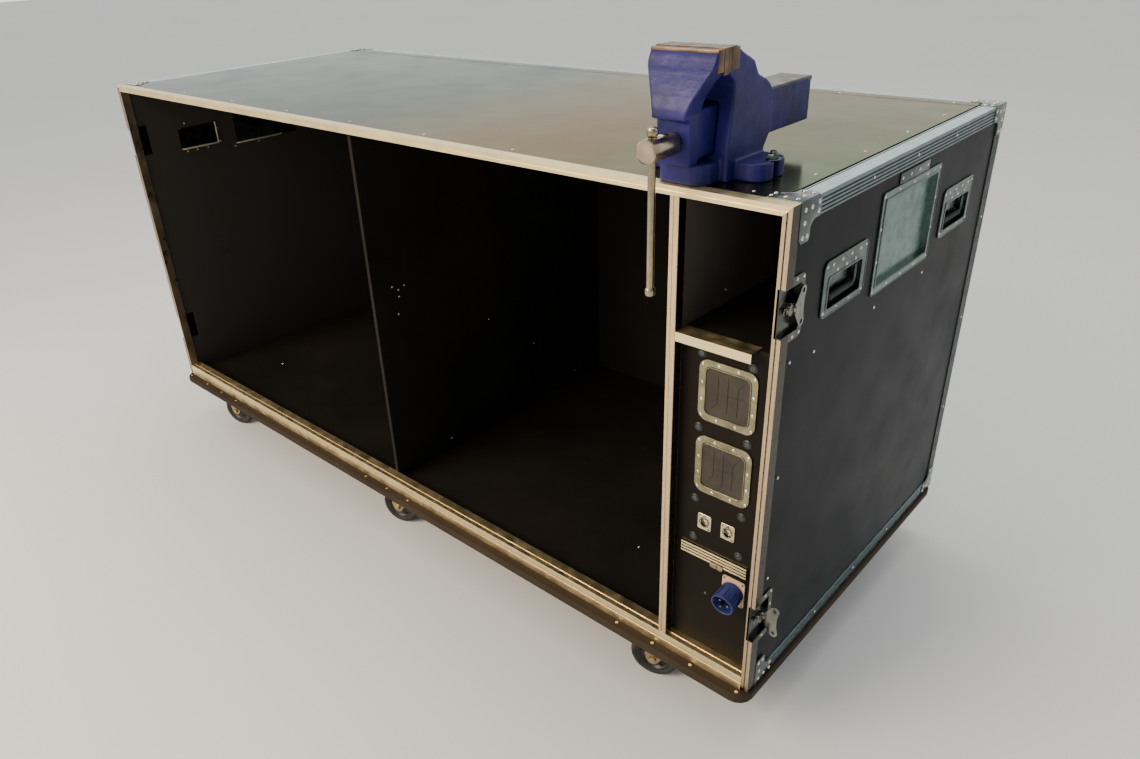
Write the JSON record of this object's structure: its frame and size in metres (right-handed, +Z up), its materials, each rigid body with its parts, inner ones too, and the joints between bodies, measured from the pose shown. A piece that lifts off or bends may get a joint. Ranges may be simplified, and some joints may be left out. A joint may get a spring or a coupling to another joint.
{
  "type": "flight-case workbench with bench vise",
  "caption": "Open-front flight-case workbench on braked swivel casters, with a metal worktop, bench vise, service column, spring handles and butterfly latches.",
  "frame": {"origin": "on the floor, under the middle of the whole object's box", "axes": "+X along the length towards the service column, -Y out of the open front, +Z up"},
  "size_m": [2.0566, 0.902, 1.1998],
  "materials": {
    "worktop_metal": "smooth sheet, faint scratches",
    "black_ply": "black laminated plywood, satin",
    "aluminium": "brushed extrusion",
    "zinc_steel": "zinc-plated pressed steel",
    "chrome": "bright plated",
    "handle_rubber": "moulded grip",
    "port_insert": "moulded, slit",
    "inlet_blue": "moulded",
    "vise_paint": "blue enamel over rough casting",
    "bright_steel": "turned",
    "tyre": "black rubber"
  },
  "bodies": {
    "case": {"worktop": "worktop_metal", "floor_panel": "black_ply", "back_panel": "black_ply", "left_panel": "black_ply", "right_panel": "black_ply", "dolly_board": "black_ply", "front_top_rail": "aluminium", "front_sill": "aluminium", "left_stile": "aluminium", "right_stile": "aluminium", "edge_extrusions": "aluminium", "bay_partition": "black_ply", "column_divider": "black_ply", "column_shelf": "black_ply", "rack_panel": "black_ply", "lower_panel": "black_ply", "cable_port_upper": "port_insert", "cable_port_lower": "port_insert", "power_inlet": "inlet_blue", "left_label_dish": "zinc_steel", "right_label_dish": "zinc_steel", "vise_body": "vise_paint", "left_front_handle_dish": "zinc_steel", "left_rear_handle_dish": "zinc_steel", "left_upper_latch_dish": "zinc_steel", "left_lower_latch_dish": "zinc_steel", "right_front_handle_dish": "zinc_steel", "right_rear_handle_dish": "zinc_steel", "right_upper_latch_dish": "zinc_steel", "right_lower_latch_dish": "zinc_steel"},
    "left_front_handle": {"left_front_handle_bail": "handle_rubber"},
    "left_rear_handle": {"left_rear_handle_bail": "handle_rubber"},
    "left_upper_latch_rotor": {"left_upper_latch_rotor": "chrome"},
    "left_upper_latch_wing": {"left_upper_latch_wing": "chrome"},
    "left_lower_latch_rotor": {"left_lower_latch_rotor": "chrome"},
    "left_lower_latch_wing": {"left_lower_latch_wing": "chrome"},
    "right_front_handle": {"right_front_handle_bail": "handle_rubber"},
    "right_rear_handle": {"right_rear_handle_bail": "handle_rubber"},
    "right_upper_latch_rotor": {"right_upper_latch_rotor": "chrome"},
    "right_upper_latch_wing": {"right_upper_latch_wing": "chrome"},
    "right_lower_latch_rotor": {"right_lower_latch_rotor": "chrome"},
    "right_lower_latch_wing": {"right_lower_latch_wing": "chrome"},
    "vise_jaw": {"vise_moving_jaw": "vise_paint"},
    "vise_screw": {"vise_spindle": "bright_steel"},
    "vise_handle": {"vise_tommy_bar": "bright_steel"},
    "caster_front_left_swivel": {"caster_front_left_fork": "zinc_steel"},
    "caster_front_left_wheel": {"caster_front_left_wheel": "tyre"},
    "caster_front_left_brake": {"caster_front_left_pedal": "zinc_steel"},
    "caster_front_middle_swivel": {"caster_front_middle_fork": "zinc_steel"},
    "caster_front_middle_wheel": {"caster_front_middle_wheel": "tyre"},
    "caster_front_middle_brake": {"caster_front_middle_pedal": "zinc_steel"},
    "caster_front_right_swivel": {"caster_front_right_fork": "zinc_steel"},
    "caster_front_right_wheel": {"caster_front_right_wheel": "tyre"},
    "caster_front_right_brake": {"caster_front_right_pedal": "zinc_steel"},
    "caster_rear_left_swivel": {"caster_rear_left_fork": "zinc_steel"},
    "caster_rear_left_wheel": {"caster_rear_left_wheel": "tyre"},
    "caster_rear_middle_swivel": {"caster_rear_middle_fork": "zinc_steel"},
    "caster_rear_middle_wheel": {"caster_rear_middle_wheel": "tyre"},
    "caster_rear_right_swivel": {"caster_rear_right_fork": "zinc_steel"},
    "caster_rear_right_wheel": {"caster_rear_right_wheel": "tyre"}
  },
  "joints": [
    {"name": "left_front_handle_lift", "type": "hinge", "parent": "case", "child": "left_front_handle", "pos_m": [-0.9922, -0.1925, 0.873], "axis": [0, 1, 0], "range_deg": [0, 90], "stiffness_Nm_per_rad": 0.12},
    {"name": "left_rear_handle_lift", "type": "hinge", "parent": "case", "child": "left_rear_handle", "pos_m": [-0.9922, 0.2605, 0.873], "axis": [0, 1, 0], "range_deg": [0, 90], "stiffness_Nm_per_rad": 0.12},
    {"name": "left_upper_latch_turn", "type": "hinge", "parent": "case", "child": "left_upper_latch_rotor", "pos_m": [-0.9926, -0.355, 0.866], "axis": [-1, 0, 0], "range_deg": [0, 180]},
    {"name": "left_upper_latch_wing_fold", "type": "hinge", "parent": "left_upper_latch_rotor", "child": "left_upper_latch_wing", "pos_m": [-1.0018, -0.351, 0.866], "axis": [0, 0, 1], "range_deg": [0, 90]},
    {"name": "left_lower_latch_turn", "type": "hinge", "parent": "case", "child": "left_lower_latch_rotor", "pos_m": [-0.9926, -0.355, 0.302], "axis": [-1, 0, 0], "range_deg": [0, 180]},
    {"name": "left_lower_latch_wing_fold", "type": "hinge", "parent": "left_lower_latch_rotor", "child": "left_lower_latch_wing", "pos_m": [-1.0018, -0.351, 0.302], "axis": [0, 0, 1], "range_deg": [-90, 0]},
    {"name": "right_front_handle_lift", "type": "hinge", "parent": "case", "child": "right_front_handle", "pos_m": [0.9922, -0.1925, 0.873], "axis": [0, -1, 0], "range_deg": [0, 90], "stiffness_Nm_per_rad": 0.12},
    {"name": "right_rear_handle_lift", "type": "hinge", "parent": "case", "child": "right_rear_handle", "pos_m": [0.9922, 0.2605, 0.873], "axis": [0, -1, 0], "range_deg": [0, 90], "stiffness_Nm_per_rad": 0.12},
    {"name": "right_upper_latch_turn", "type": "hinge", "parent": "case", "child": "right_upper_latch_rotor", "pos_m": [0.9926, -0.355, 0.866], "axis": [1, 0, 0], "range_deg": [0, 180]},
    {"name": "right_upper_latch_wing_fold", "type": "hinge", "parent": "right_upper_latch_rotor", "child": "right_upper_latch_wing", "pos_m": [1.0018, -0.351, 0.866], "axis": [0, 0, -1], "range_deg": [0, 90]},
    {"name": "right_lower_latch_turn", "type": "hinge", "parent": "case", "child": "right_lower_latch_rotor", "pos_m": [0.9926, -0.355, 0.302], "axis": [1, 0, 0], "range_deg": [0, 180]},
    {"name": "right_lower_latch_wing_fold", "type": "hinge", "parent": "right_lower_latch_rotor", "child": "right_lower_latch_wing", "pos_m": [1.0018, -0.351, 0.302], "axis": [0, 0, -1], "range_deg": [-90, 0]},
    {"name": "vise_jaw_slide", "type": "slide", "parent": "case", "child": "vise_jaw", "axis": [0, -1, 0], "range_m": [0, 0.1495]},
    {"name": "vise_spindle_turn", "type": "hinge", "parent": "vise_jaw", "child": "vise_screw", "pos_m": [0.815, -0.451, 1.0783], "axis": [0, -1, 0], "range_deg": [0, 8971]},
    {"name": "vise_bar_slide", "type": "slide", "parent": "vise_screw", "child": "vise_handle", "axis": [0, 0, 1], "range_m": [0, 0.179]},
    {"name": "caster_front_left_swivel", "type": "hinge", "parent": "case", "child": "caster_front_left_swivel", "pos_m": [-0.8, -0.314, 0.11], "axis": [0, 0, 1], "continuous": true},
    {"name": "caster_front_left_roll", "type": "hinge", "parent": "caster_front_left_swivel", "child": "caster_front_left_wheel", "pos_m": [-0.83443, -0.32453, 0.05], "axis": [0.2924, -0.9563, 0], "continuous": true},
    {"name": "caster_front_left_brake", "type": "hinge", "parent": "caster_front_left_swivel", "child": "caster_front_left_brake", "pos_m": [-0.83825, -0.3257, 0.1045], "axis": [0.2924, -0.9563, 0], "range_deg": [0, 12]},
    {"name": "caster_front_middle_swivel", "type": "hinge", "parent": "case", "child": "caster_front_middle_swivel", "pos_m": [0, -0.314, 0.11], "axis": [0, 0, 1], "continuous": true},
    {"name": "caster_front_middle_roll", "type": "hinge", "parent": "caster_front_middle_swivel", "child": "caster_front_middle_wheel", "pos_m": [-0.03443, -0.32453, 0.05], "axis": [0.2924, -0.9563, 0], "continuous": true},
    {"name": "caster_front_middle_brake", "type": "hinge", "parent": "caster_front_middle_swivel", "child": "caster_front_middle_brake", "pos_m": [-0.03825, -0.3257, 0.1045], "axis": [0.2924, -0.9563, 0], "range_deg": [0, 12]},
    {"name": "caster_front_right_swivel", "type": "hinge", "parent": "case", "child": "caster_front_right_swivel", "pos_m": [0.8, -0.314, 0.11], "axis": [0, 0, 1], "continuous": true},
    {"name": "caster_front_right_roll", "type": "hinge", "parent": "caster_front_right_swivel", "child": "caster_front_right_wheel", "pos_m": [0.76557, -0.32453, 0.05], "axis": [0.2924, -0.9563, 0], "continuous": true},
    {"name": "caster_front_right_brake", "type": "hinge", "parent": "caster_front_right_swivel", "child": "caster_front_right_brake", "pos_m": [0.76175, -0.3257, 0.1045], "axis": [0.2924, -0.9563, 0], "range_deg": [0, 12]},
    {"name": "caster_rear_left_swivel", "type": "hinge", "parent": "case", "child": "caster_rear_left_swivel", "pos_m": [-0.8, 0.376, 0.11], "axis": [0, 0, 1], "continuous": true},
    {"name": "caster_rear_left_roll", "type": "hinge", "parent": "caster_rear_left_swivel", "child": "caster_rear_left_wheel", "pos_m": [-0.83443, 0.36547, 0.05], "axis": [0.2924, -0.9563, 0], "continuous": true},
    {"name": "caster_rear_middle_swivel", "type": "hinge", "parent": "case", "child": "caster_rear_middle_swivel", "pos_m": [0, 0.376, 0.11], "axis": [0, 0, 1], "continuous": true},
    {"name": "caster_rear_middle_roll", "type": "hinge", "parent": "caster_rear_middle_swivel", "child": "caster_rear_middle_wheel", "pos_m": [-0.03443, 0.36547, 0.05], "axis": [0.2924, -0.9563, 0], "continuous": true},
    {"name": "caster_rear_right_swivel", "type": "hinge", "parent": "case", "child": "caster_rear_right_swivel", "pos_m": [0.8, 0.376, 0.11], "axis": [0, 0, 1], "continuous": true},
    {"name": "caster_rear_right_roll", "type": "hinge", "parent": "caster_rear_right_swivel", "child": "caster_rear_right_wheel", "pos_m": [0.76557, 0.36547, 0.05], "axis": [0.2924, -0.9563, 0], "continuous": true}
  ],
  "couplings": [
    {"joint": "vise_spindle_turn", "follows": "vise_jaw_slide", "rad_per_m": 1047.2}
  ]
}
